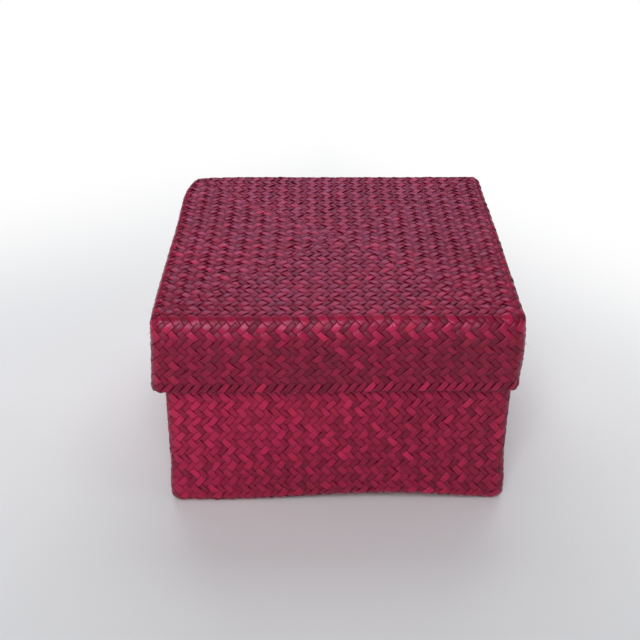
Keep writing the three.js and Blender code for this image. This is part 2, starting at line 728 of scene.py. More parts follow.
@dataclass(frozen=True)
class StripSize:
    """Section of a leaf strip and how far it rises over the strips that it crosses.

    Attributes:
        share: Width, as a share of the room between two strips.
        turn_about: How much wider the strips laid face out are than those laid back out.
        proud: How much higher the strips laid face out lie.
        spread: How much the width changes from strip to strip.
        thickness: Thickness at the middle.
        lift: Rise from the middle of the plait.
        lift_spread: How much the rise changes from float to float.
        tilt: How far a float's edges stand up or down.
        puff: How much deeper the edges lie on the panel, where the strips are slack.
        slack_turn_about: What the panel adds to turn_about.
        slack_proud: What the panel adds to proud.
        slack_thickness: What the panel adds to thickness.
        slack_lift: What the panel adds to lift.
        slack_share: What the panel adds to share.
    """

    share: float = 1.12
    turn_about: float = 0.24
    proud: float = 0.08 * MM
    spread: float = 0.12
    thickness: float = 0.22 * MM
    lift: float = 0.28 * MM
    lift_spread: float = 0.20
    tilt: float = 0.12 * MM
    puff: float = 0.08 * MM
    slack_turn_about: float = 0.16
    slack_proud: float = 0.12 * MM
    slack_thickness: float = 0.08 * MM
    slack_lift: float = 0.07 * MM
    slack_share: float = 0.06


# Across and height of the five corners of a strip's section, as shares of half its width and of
# its thickness: a crowned top and a shallow keel.
SECTION = ((-1.0, 0.3), (-0.62, 0.5), (0.62, 0.5), (1.0, 0.3), (0.0, -0.5))
SECTION_ROUND = (0.0, 0.17, 0.5, 0.67, 0.84, 1.0)
CAP_FACES = ((0, 1, 2, 3), (0, 3, 4))


@dataclass
class Ribbons:
    """Closed ribbons, gathered one by one and made into one mesh.

    Attributes:
        rings: Section corners of each ribbon: samples by corners by 3.
        along: Length along each ribbon at its samples.
        breadth: Half the width at the samples.
        tones: Tone of each ribbon at its samples.
        seeds: Number of each ribbon, which sets its grain apart.
    """

    rings: list[Array] = field(default_factory=list)
    along: list[Array] = field(default_factory=list)
    breadth: list[Array] = field(default_factory=list)
    tones: list[Array] = field(default_factory=list)
    seeds: list[float] = field(default_factory=list)

    def add(self, rings: Array, along: Array, breadth: Array, tone: Array, seed: float) -> None:
        """Adds one ribbon, as the fields describe it."""
        self.rings.append(rings)
        self.along.append(along)
        self.breadth.append(breadth)
        self.tones.append(tone)
        self.seeds.append(seed)

    def build(self, name: str, outward: Callable[[int], Array]) -> bpy.types.Object:
        """Makes the mesh.

        Args:
            name: Name of the object.
            outward: Gives a direction that the top of a ribbon's first sample faces.

        Returns:
            The new object.
        """
        corners = len(SECTION)
        longest = max(float(np.ptp(a)) for a in self.along)
        faces: list[Array] = []
        places: list[Array] = []
        caps: list[tuple[int, ...]] = []
        cap_places: list[tuple[tuple[float, float], ...]] = []
        start = 0
        for index, ring in enumerate(self.rings):
            count = len(ring)
            quad = self.quads(count)
            first = ring[0]
            facing = np.cross(ring[1, 1] - first[1], first[2] - first[1])
            backward = float(facing @ outward(index)) < 0
            run = (self.along[index] - self.along[index][0]) / longest
            uv = self.bake_places(index, run)
            if backward:
                quad = quad[:, ::-1]
                uv = uv[:, ::-1]
            faces.append(quad + start)
            places.append(uv)
            for end, at in ((0, 0), (1, (count - 1) * corners)):
                for cap in CAP_FACES:
                    loop = cap if (end == 0) == (not backward) else cap[::-1]
                    caps.append(tuple(start + at + c for c in loop[::-1]))
                    across_map = float(run[-1] * end) * (1 - 2 * MAP_END) + MAP_END
                    spot = (across_map, (index + 0.5) / len(self.rings))
                    cap_places.append(tuple(spot for _ in cap))
            start += count * corners
        quads = np.concatenate(faces)
        return self.mesh_object(name, quads, np.concatenate(places), caps, cap_places)

    @staticmethod
    def quads(count: int) -> Array:
        """Faces round a ribbon of that many samples, four corners a row."""
        corners = len(SECTION)
        sample, corner = np.meshgrid(np.arange(count - 1), np.arange(corners), indexing="ij")
        low = sample * corners
        after = (corner + 1) % corners
        quad = [low + corner, low + corners + corner, low + corners + after, low + after]
        return np.stack(quad, -1).reshape(-1, 4)

    def bake_places(self, index: int, run: Array) -> Array:
        """Map places of a ribbon's faces: each ribbon has a level band of the map."""
        rows = len(self.rings)
        low = (index + BAND_GAP) / rows
        high = (index + 1 - BAND_GAP) / rows
        bands = low + (high - low) * np.array(SECTION_ROUND)
        u = run * (1 - 2 * MAP_END) + MAP_END
        u0, u1 = u[:-1, None], u[1:, None]
        v0, v1 = bands[None, :-1], bands[None, 1:]
        flat = np.zeros((len(run) - 1, len(SECTION)))
        corners = [(u0, v0), (u1, v0), (u1, v1), (u0, v1)]
        pairs = [np.stack([flat + a, flat + b], -1) for a, b in corners]
        return np.stack(pairs, 2).reshape(-1, 4, 2)

    def mesh_object(
        self,
        name: str,
        faces: Array,
        places: Array,
        caps: list[tuple[int, ...]],
        cap_places: list[tuple[tuple[float, float], ...]],
    ) -> bpy.types.Object:
        """Fills a mesh and links it to the scene.

        Args:
            name: Name of the object.
            faces: Corners of the four-sided faces.
            places: Map places of those corners.
            caps: Corners of the end faces.
            cap_places: Map places of those corners.

        Returns:
            The new object.
        """
        points = np.concatenate([ring.reshape(-1, 3) for ring in self.rings])
        loops = np.concatenate([faces.ravel(), np.array([c for cap in caps for c in cap])])
        sizes = np.concatenate([np.full(len(faces), 4), np.array([len(cap) for cap in caps])])
        cap_uv = np.array([p for cap in cap_places for p in cap])
        uv = np.concatenate([places.reshape(-1, 2), cap_uv])
        mesh = bpy.data.meshes.new(name)
        mesh.vertices.add(len(points))
        mesh.vertices.foreach_set("co", points.astype(np.float32).ravel())
        mesh.loops.add(len(loops))
        mesh.loops.foreach_set("vertex_index", loops.astype(np.int32))
        mesh.polygons.add(len(sizes))
        starts = np.concatenate([[0], np.cumsum(sizes)[:-1]])
        mesh.polygons.foreach_set("loop_start", starts.astype(np.int32))
        mesh.polygons.foreach_set("use_smooth", np.ones(len(sizes), bool))
        mesh.update(calc_edges=True)
        layer = mesh.uv_layers.new(name="OFBake")
        layer.uv.foreach_set("vector", uv.astype(np.float32).ravel())
        self.write_attributes(mesh)
        made = bpy.data.objects.new(name, mesh)
        bpy.context.scene.collection.objects.link(made)
        return made

    def write_attributes(self, mesh: bpy.types.Mesh) -> None:
        """Writes what the leaf finish reads: the place in the grain and the tone."""
        across = np.array([a for a, _ in SECTION])
        grain: list[Array] = []
        tone: list[Array] = []
        for ring, along, breadth, own, seed in zip(
            self.rings, self.along, self.breadth, self.tones, self.seeds
        ):
            count = len(ring)
            spot = np.zeros((count, len(SECTION), 3))
            spot[:, :, 0] = along[:, None]
            spot[:, :, 1] = breadth[:, None] * across[None, :]
            spot[:, :, 2] = seed
            grain.append(spot.reshape(-1, 3))
            tone.append(np.repeat(own, len(SECTION)))
        vector = mesh.attributes.new("grain", "FLOAT_VECTOR", "POINT")
        vector.data.foreach_set("vector", np.concatenate(grain).astype(np.float32).ravel())
        number = mesh.attributes.new("tone", "FLOAT", "POINT")
        number.data.foreach_set("value", np.concatenate(tone).astype(np.float32))


@dataclass
class Plait:
    """One plaited layer: two sets of strips that cross on the bias.

    Attributes:
        name: Start of the pieces' names.
        shell: The skin that the plait follows.
        per_side: Strips along each side, one way.
        reach: Depth below the panel where the strips end.
        tucked: Depth below which they are tucked under the rim, flattened and given painted shade.
        twill: The pattern.
        strip: Section of the strips.
        tones: Mean tone of strips laid face out and back out.
        tone_spread: How much the tone changes from strip to strip.
        seed: Seed of the plait's chances.
        float_spread: How much the tone changes from float to float.
        sideways_slope: How much the tone of the walls changes from left to right, for each metre.
        upward_slope: How much it changes upwards, for each metre.
        upward_level: Height where it is as given.
        panel_light: Painted light making the panel lighter than the walls, by the side that shows.
        fade: Painted shade: how much darker a float is where it dives, for its whole lift.
        vivid: How much lighter a few strips are over their whole length.
        vivid_share: Share of those strips.
        painted_edge_light: Painted highlight where the strips turn over the edge, by the side that
            shows.
        painted_edge_light_at: Length down from the middle of the edge where that painted highlight
            is strongest.
        painted_edge_light_reach: Length over which that painted highlight fades.
        between: Places of the samples between one crossing and the next.
        on_slope: Height of a strip beside a crossing where it dives, as a share of its lift.
        on_float: Height of a strip between two crossings that it passes over, likewise.
        slack_slope: The panel's on_slope.
        slack_float: The panel's on_float.
        wall_ease: Length down from the edge over which the strips turn from slack to tight.
        tuck_ease: Length over which the strips go under the rim.
        tuck_flat: Share of their lift that they lose there.
        tuck_sink: How far they sink there.
        lift_most: Largest chance that changes a float's lift.
        tilt_most: Largest chance that tilts a float.
        slow_sway: How far a strip sways slowly, as a share of the room between two strips.
        slow_turns: Radians per metre of that sway, least and most.
        quick_sway: How far it sways quickly, likewise.
        quick_turns: Radians per metre of that sway, least and most.
        swell: How much its width changes along it.
        swell_turns: Radians per metre of that change, least and most.
    """

    name: str
    shell: SoftShell
    per_side: int
    reach: float
    tucked: float
    twill: Twill
    strip: StripSize
    tones: dict[LeafSide, float]
    tone_spread: float
    seed: int
    float_spread: float = 0.10
    sideways_slope: float = 0.0
    upward_slope: float = 0.0
    upward_level: float = 45.0 * MM
    panel_light: dict[LeafSide, float] = field(default_factory=dict)
    fade: float = 0.16
    vivid: float = 0.26
    vivid_share: float = 0.05
    painted_edge_light: dict[LeafSide, float] = field(default_factory=dict)
    painted_edge_light_at: float = 6.0 * MM
    painted_edge_light_reach: float = 5.2 * MM
    between: tuple[float, ...] = (0.0, 0.3, 0.7)
    on_slope: float = 0.58
    on_float: float = 1.22
    slack_slope: float = 0.50
    slack_float: float = 1.28
    wall_ease: float = 8.0 * MM
    tuck_ease: float = 1.6 * MM
    tuck_flat: float = 0.85
    tuck_sink: float = 0.12 * MM
    lift_most: float = 1.5
    tilt_most: float = 2.0
    slow_sway: float = 0.06
    slow_turns: tuple[float, float] = (25.0, 90.0)
    quick_sway: float = 0.05
    quick_turns: tuple[float, float] = (150.0, 400.0)
    swell: float = 0.05
    swell_turns: tuple[float, float] = (60.0, 160.0)

    @property
    def spacing(self) -> float:
        """Room along a side between two strips of one set."""
        return 2 * self.shell.half_lattice / self.per_side

    @property
    def pitch(self) -> float:
        """Room between two strips of one set, square to them."""
        return self.spacing / math.sqrt(2)

    def faces_of(self, way: Way, offset: float, run: Array) -> Array:
        """Face number of places along a strip.

        Args:
            way: Direction of the strip.
            offset: Distance of its line from the middle, along a side.
            run: Length along it, from its middle, as x plus or minus y.

        Returns:
            The face that each place belongs to.
        """
        if way is Way.RISING:
            ahead, behind = (0, 3) if offset >= 0 else (1, 2)
        else:
            ahead, behind = (0, 1) if offset >= 0 else (3, 2)
        return np.where(run >= 0, ahead, behind)

    def spots(
        self, way: Way, offset: float, run: Array, aside: Array
    ) -> tuple[Array, Array, Array]:
        """Places along a strip, moved aside from its middle.

        Args:
            way: Direction of the strip.
            offset: Distance of its line from the middle, along a side.
            run: Length along it, as x plus or minus y.
            aside: Distance from its middle line.

        Returns:
            Face number, length along the face and length down from its edge.
        """
        face = self.faces_of(way, offset, run)
        sign = way.value
        x = (run + offset) / 2 + aside / math.sqrt(2)
        y = sign * (run - offset) / 2 - sign * aside / math.sqrt(2)
        cosine = np.cos(face * QUARTER)
        sine = np.sin(face * QUARTER)
        down = x * cosine + y * sine - self.shell.half_lattice
        return face, y * cosine - x * sine, down

    def heights(self, way: Way, offset: float, first: int, last: int) -> Array:
        """Height of a strip at its crossings, 1 where it passes over and -1 under."""
        run = (np.arange(first, last + 1) + 0.5) * self.spacing
        face, _, down = self.spots(way, offset, run, np.zeros_like(run))
        row = np.rint(down / (self.spacing / 2)).astype(int)
        anticlockwise = (face % 2 == 0) == (way is Way.RISING)
        over = self.twill.over(row) == anticlockwise
        return np.where(over, 1.0, -1.0)

    @staticmethod
    def arched(height: Array, on_slope: float, on_float: float) -> Array:
        """Height of a strip at its samples, from that at its crossings."""
        samples = [height[0]]
        for here, after in zip(height[:-1], height[1:]):
            share = on_float if here == after else on_slope
            samples.extend([here * share, after * share, after])
        return np.array(samples)

    def profile(self, height: Array, slack: Array) -> Array:
        """Height at a strip's samples, for how slack it is at each of them."""
        tight = self.arched(height, self.on_slope, self.on_float)
        loose = self.arched(height, self.slack_slope, self.slack_float)
        return tight * (1 - slack) + loose * slack

    @staticmethod
    def by_float(height: Array, rng: np.random.Generator) -> Array:
        """Draws a chance for each float and gives it to the samples on that float."""
        number = np.concatenate([[0], np.cumsum(height[1:] != height[:-1])])
        drawn = rng.normal(size=number[-1] + 1)[number]
        pairs = np.stack([drawn[:-1], drawn[1:], drawn[1:]], 1)
        return np.concatenate([[drawn[0]], pairs.ravel()])

    @staticmethod
    def waver(run: Array, turns: tuple[float, float], rng: np.random.Generator) -> Array:
        """Draws a wave along a strip, of -1 to 1."""
        return np.sin(run * rng.uniform(*turns) + rng.uniform(0, FULL_TURN))

    def crossings(self, offset: float) -> tuple[int, int]:
        """Numbers of the first and the last crossing of a strip."""
        end = 2 * self.shell.half_lattice - abs(offset) + 2 * self.shell.down_at(self.reach)
        last = int(math.floor(end / self.spacing - 0.5))
        return -last - 1, last

    def own_tone(
        self, side: LeafSide, height: Array, profile: Array, down: Array, rng: np.random.Generator
    ) -> Array:
        """Tone that a strip has by itself, before the half's slopes and painted light.

        Args:
            side: The side of the leaf that shows.
            height: Height of the strip at its crossings.
            profile: Height at its samples.
            down: Length of the samples down from the middle of the edge.
            rng: Source of its small differences.

        Returns:
            The tone at its samples.
        """
        tone = self.tones[side] + self.tone_spread * rng.normal()
        tone += self.vivid if rng.random() < self.vivid_share else 0.0
        tone = tone + self.float_spread * self.by_float(height, rng)
        # Painted shade: floats darken towards where they dive under the crossing strips.
        tone = tone + self.fade * (np.maximum(profile, 0.0) - 1)
        # Painted highlight where the strips turn over the edge.
        edge_light_share = np.exp(-(((down - self.painted_edge_light_at) / self.painted_edge_light_reach) ** 2))
        return tone + self.painted_edge_light.get(side, 0.0) * edge_light_share

    def half_breadth(
        self, side: LeafSide, run: Array, slack: Array, rng: np.random.Generator
    ) -> Array:
        """Half the width of a strip at its samples.

        Args:
            side: The side of the leaf that shows.
            run: Length along the strip.
            slack: How slack it is at its samples.
            rng: Source of its small differences.

        Returns:
            Half the width.
        """
        turn_about = self.strip.turn_about + self.strip.slack_turn_about * slack
        width = self.strip.share + self.strip.slack_share * slack
        width = width + turn_about * side.half_step
        width = width * (1 + self.strip.spread * rng.uniform(-1, 1))
        return 0.5 * self.pitch * width * (1 + self.swell * self.waver(run, self.swell_turns, rng))

    def ribbon(self, way: Way, number: int, rng: np.random.Generator, into: Ribbons) -> Array:
        """Works out one strip.

        Args:
            way: Direction of the strip.
            number: Its number, counted from the middle of the panel.
            rng: Source of its small differences.
            into: The ribbons that it joins.

        Returns:
            The normal at its first sample.
        """
        side = LeafSide(number % 2)
        offset = (number + 0.5) * self.spacing
        first, last = self.crossings(offset)
        steps = (np.arange(first, last)[:, None] + np.array(self.between)[None, :]).ravel()
        run = (np.append(steps, last) + 0.5) * self.spacing
        height = self.heights(way, offset, first, last)
        _, _, down = self.spots(way, offset, run, np.zeros_like(run))
        slack = 1 - np.clip(down / self.wall_ease, 0.0, 1.0)
        hidden = np.clip((down - self.shell.down_at(self.tucked)) / self.tuck_ease, 0.0, 1.0)

        profile = self.profile(height, slack)
        chance = np.clip(self.by_float(height, rng), -self.lift_most, self.lift_most)
        lift = profile * (self.strip.lift + self.strip.slack_lift * slack)
        lift = lift * (1 + self.strip.lift_spread * chance)
        lift = lift + (self.strip.proud + self.strip.slack_proud * slack) * side.half_step
        lift = lift * (1 - self.tuck_flat * hidden) - self.tuck_sink * hidden
        chance = np.clip(self.by_float(height, rng), -self.tilt_most, self.tilt_most)
        tilt = self.strip.tilt * chance
        tone = self.own_tone(side, height, profile, down, rng)
        sway = self.slow_sway * self.waver(run, self.slow_turns, rng)
        sway = (sway + self.quick_sway * self.waver(run, self.quick_turns, rng)) * self.pitch
        breadth = self.half_breadth(side, run, slack, rng)
        thickness = self.strip.thickness + self.strip.slack_thickness * slack

        ring = []
        for across, tall in SECTION:
            face, along, down = self.spots(way, offset, run, sway + across * breadth)
            points, normals = self.shell.place(face, along, down)
            rise = lift + across * tilt + tall * thickness
            rise = rise - self.strip.puff * slack * (abs(across) == 1.0)
            ring.append(points + normals * rise[:, None])
        # The last corner of the section lies on the strip's middle line.
        # Walls lighter or darker from left to right and with height, by the half's slopes.
        toned = self.sideways_slope * points[:, 0] + self.upward_slope * (points[:, 2] - self.upward_level)
        tone = tone + toned * (1 - slack)
        # Painted light on the panel, where the strips are slack.
        tone = np.maximum(tone + self.panel_light.get(side, 0.0) * slack, 0.0)
        # Painted shade on the ends tucked under the rim: their tone goes below 0.
        tone = tone * (1 - hidden) - hidden
        seed = float(rng.uniform(0, GRAIN_SEEDS))
        into.add(np.stack(ring, 1), run / math.sqrt(2), breadth, tone, seed)
        return normals[0]

    def weave(self, finish: Leaf, body: Half, slot: Slot, node: str) -> None:
        """Makes the plait's pieces: each set of strips, face out and back out.

        Args:
            finish: Material of the strips, by the side that shows.
            body: The body that carries the plait.
            slot: The record's slot of the strips.
            node: The solid that the plait stands for.
        """
        rng = np.random.default_rng(self.seed)
        for way in Way:
            sets = {side: Ribbons() for side in LeafSide}
            facing: dict[LeafSide, list[Array]] = {side: [] for side in LeafSide}
            for number in range(-self.per_side, self.per_side):
                side = LeafSide(number % 2)
                facing[side].append(self.ribbon(way, number, rng, sets[side]))
            for side in LeafSide:
                name = f"{self.name}_{way.name.lower()}_{side.name.lower()}"
                piece = sets[side].build(name, facing[side].__getitem__)
                dress(piece, finish[side], body, slot, node)


@dataclass
class RimFold:
    """Strip ends folded over the free edge, all slanting one way.

    Attributes:
        name: Name of the piece.
        plait: The outer plait whose strips they are.
        layers: Depths of the double wall.
        outside: The half's outer skin.
        slant: Length along the wall for each length down it: above 0 anticlockwise.
        tuck: How far the strips start above the fold's foot, under the last row.
        inset: Depth of a strip's middle below the fold's outside.
        thickness: Thickness of a strip.
        share: Width, as a share of the room between two strips.
        width_range: Least and most change of that width from strip to strip.
        shingle: How far one side of a strip lies over its neighbour.
        tone: Mean tone of the strips.
        tone_spread: How much the tone changes from strip to strip.
        seed: Seed of the small differences.
        outer_stops: Samples up the outer leaf.
        crown_stops: Samples over the crown.
        inner_stops: Samples down the inner leaf.
        rise_runs: Lengths from the foot where the strips' height is given, after the tuck's.
        rises: Height there.
        rise_spread: How much it changes from strip to strip.
        taper_runs: Lengths from the foot where the strips' width is given, after the tuck's.
        tapers: Share of the full width there.
        shade_turn: Angle over the crown where painted shade on the strips starts and grows.
        shade_tone: Tone of that painted shade under the crown.
    """

    name: str
    plait: Plait
    layers: Layers
    outside: SoftShell
    slant: float = -0.75
    tuck: float = 1.6 * MM
    inset: float = 0.42 * MM
    thickness: float = 0.4 * MM
    share: float = 1.22
    width_range: tuple[float, float] = (-0.05, 0.025)
    shingle: float = 0.14 * MM
    tone: float = 0.46
    tone_spread: float = 0.22
    seed: int = 5
    outer_stops: int = 5
    crown_stops: int = 7
    inner_stops: int = 3
    rise_runs: tuple[float, float] = (0.6 * MM, 2.4 * MM)
    rises: Triple = (-0.45 * MM, -0.1 * MM, 0.12 * MM)
    rise_spread: float = 0.08 * MM
    taper_runs: tuple[float, float] = (0.5 * MM, 2.6 * MM)
    tapers: Triple = (0.66, 0.80, 1.0)
    shade_turn: float = 0.45
    shade_tone: float = -0.12

    @property
    def straight(self) -> float:
        """Height of the outer leaf up to where the crown starts to turn."""
        return self.layers.rim_depth - self.layers.rim_thickness / 2

    @property
    def turn_radius(self) -> float:
        """Radius of the crown at the middle of a strip."""
        return self.layers.rim_thickness / 2 - self.inset

    def place(self, face: Array, along: Array, run: Array) -> tuple[Array, Array]:
        """Finds places on the fold.

        Args:
            face: Face number of each place.
            along: Length along that face from its middle.
            run: Length from the foot of the outer leaf, over the crown and back inside.

        Returns:
            The points and the normals.
        """
        shell = self.outside
        turn = np.clip((run - self.straight) / self.turn_radius, 0.0, math.pi)
        back = np.maximum(run - self.straight - math.pi * self.turn_radius, 0.0)
        forth = np.minimum(run, self.straight)
        inset = self.layers.rim_thickness / 2 - self.turn_radius * np.cos(turn)
        depth = shell.height - self.layers.rim_depth + forth
        depth = depth + self.turn_radius * np.sin(turn) - back
        half = shell.half_width - inset
        corner = np.maximum(shell.corner - inset, LEAST_RADIUS)
        share = (half - ARC_SAVING * corner) / self.plait.shell.half_lattice
        place, away = shell.ring(face, along * share, half, corner)
        points = np.column_stack([place, shell.panel_z + shell.rise * depth])
        normals = np.column_stack([away * np.cos(turn)[:, None], shell.rise * np.sin(turn)])
        return shell.slouch.give(points), normals

    def weave(self, finish: Leaf, body: Half, node: str) -> None:
        """Makes the folded ends, face out and back out turn about.

        Args:
            finish: Material of the strips, by the side that shows.
            body: The body that carries them.
            node: The solid that they stand for.
        """
        rng = np.random.default_rng(self.seed)
        spacing = self.plait.spacing
        foot = self.plait.shell.down_at(self.outside.height - self.layers.rim_depth)
        crown = math.pi * self.turn_radius
        stops = [
            np.linspace(-self.tuck, self.straight, self.outer_stops),
            self.straight + crown * np.linspace(0, 1, self.crown_stops)[1:],
            self.straight + crown + np.linspace(0, self.straight, self.inner_stops)[1:],
        ]
        run = np.concatenate(stops)
        rise = np.interp(run, [-self.tuck, *self.rise_runs], self.rises)
        taper = np.interp(run, [-self.tuck, *self.taper_runs], self.tapers)
        # Painted shade on the underside of the crown, where the strips turn in.
        dull = (run - self.straight) / self.turn_radius - self.shade_turn
        dull = np.clip(dull / self.shade_turn, 0.0, 1.0)
        sets = {side: Ribbons() for side in LeafSide}
        facing: dict[LeafSide, list[Array]] = {side: [] for side in LeafSide}
        for number in range(FACES * self.plait.per_side):
            side = LeafSide(number % 2)
            face = np.full(len(run), number // self.plait.per_side)
            middle = (number % self.plait.per_side + 0.5 - self.plait.per_side / 2) * spacing
            width = self.share * (1 + rng.uniform(*self.width_range))
            breadth = 0.5 * self.plait.pitch * width * taper
            lift = rise + self.rise_spread * rng.uniform(-1, 1)
            ring = []
            for across, tall in SECTION:
                aside = across * breadth / math.hypot(1.0, self.slant)
                along = middle + self.slant * run - foot + aside
                points, normals = self.place(face, along, run - self.slant * aside)
                height = lift + tall * self.thickness - across * self.shingle
                ring.append(points + normals * height[:, None])
            tone = max(self.tone + self.tone_spread * rng.normal(), 0.0)
            tone = tone * (1 - dull) + self.shade_tone * dull
            length = run * math.hypot(1.0, self.slant)
            grain = float(rng.uniform(0, GRAIN_SEEDS))
            sets[side].add(np.stack(ring, 1), length, breadth, tone, grain)
            facing[side].append(normals[0])
        for side in LeafSide:
            name = f"{self.name}_{side.name.lower()}"
            piece = sets[side].build(name, facing[side].__getitem__)
            dress(piece, finish[side], body, Slot.RIM, node)


def dress(
    piece: bpy.types.Object, finish: bpy.types.Material, body: Half, slot: Slot, *nodes: str
) -> None:
    """Gives a piece its finish and its body, and hides the solids that it stands for.

    Args:
        piece: The new object.
        finish: Its material.
        body: The body that carries it.
        slot: Not used.
        nodes: The solids that it replaces.
    """
    piece.data.materials.append(finish)
    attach(piece, body.value)
    if nodes:
        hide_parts(*nodes)
    LOG.info("%s: %d faces on %s", piece.name, len(piece.data.polygons), body.value)


@dataclass(frozen=True)
class LooseFibres:
    """Hairs of leaf that have split from the strips and stand off the walls.

    Attributes:
        shell: The skin that they stand on.
        count: How many there are besides the marked ones.
        marked: Face number, length along it and length down from its edge of marked hairs.
        deepest: Length down from the edge of the lowest ones.
        length: Length of a common one.
        width: Width at its root.
        tone: Their tone.
        seed: Seed of their chances.
        spread: Share of a face's length that they stand on.
        stops: Samples along each.
        length_range: Least and most length, as shares of a common one.
        lean_aside: Most that one leans to the side, for each length out.
        lean_down: Most that it leans down.
        droop: How far its tip hangs.
        droop_aside: Most that its tip turns to the side.
        thinning: Share of its width that it loses up to the tip.
    """

    shell: SoftShell
    count: int
    marked: tuple[tuple[int, float, float], ...]
    deepest: float
    length: float = 3.4 * MM
    width: float = 0.36 * MM
    tone: float = 0.3
    seed: int = 3
    spread: float = 0.96
    stops: int = 6
    length_range: tuple[float, float] = (0.6, 1.2)
    lean_aside: float = 0.7
    lean_down: float = 0.5
    droop: float = 0.45
    droop_aside: float = 0.5
    thinning: float = 0.75

    def roots(self, rng: np.random.Generator) -> list[tuple[int, float, float]]:
        """Places of all the hairs, marked ones first."""
        reach = self.spread * self.shell.half_lattice
        places = list(self.marked)
        for _ in range(self.count):
            face = int(rng.integers(FACES))
            along = float(rng.uniform(-reach, reach))
            places.append((face, along, float(rng.uniform(0, self.deepest))))
        return places

    def build(self, name: str) -> bpy.types.Object:
        """Makes the hairs.

        Args:
            name: Name of the object.

        Returns:
            The new object.
        """
        rng = np.random.default_rng(self.seed)
        hairs = Ribbons()
        facing: list[Array] = []
        share = np.linspace(0.0, 1.0, self.stops)
        for face, along, down in self.roots(rng):
            points, normals = self.shell.place(*(np.array([float(v)]) for v in (face, along, down)))
            out = normals[0]
            level = np.cross(out, (0.0, 0.0, 1.0))
            level = level / np.linalg.norm(level)
            length = self.length * rng.uniform(*self.length_range)
            lean = level * rng.uniform(-self.lean_aside, self.lean_aside)
            lean = lean - np.array((0.0, 0.0, rng.uniform(0.0, self.lean_down)))
            droop = level * rng.uniform(-self.droop_aside, self.droop_aside)
            droop = droop - np.array((0.0, 0.0, self.droop))
            line = points[0] + length * (
                share[:, None] * (out + lean)[None, :] + (share**2)[:, None] * droop[None, :]
            )
            breadth = 0.5 * self.width * (1 - self.thinning * share)
            up = np.cross(level, out + lean)
            up = up / np.linalg.norm(up)
            ring = [
                line + across * breadth[:, None] * level + tall * breadth[:, None] * up
                for across, tall in SECTION
            ]
            tone = np.full(self.stops, self.tone)
            hairs.add(np.stack(ring, 1), share * length, breadth, tone, float(len(facing)))
            facing.append(up)
        return hairs.build(name, facing.__getitem__)


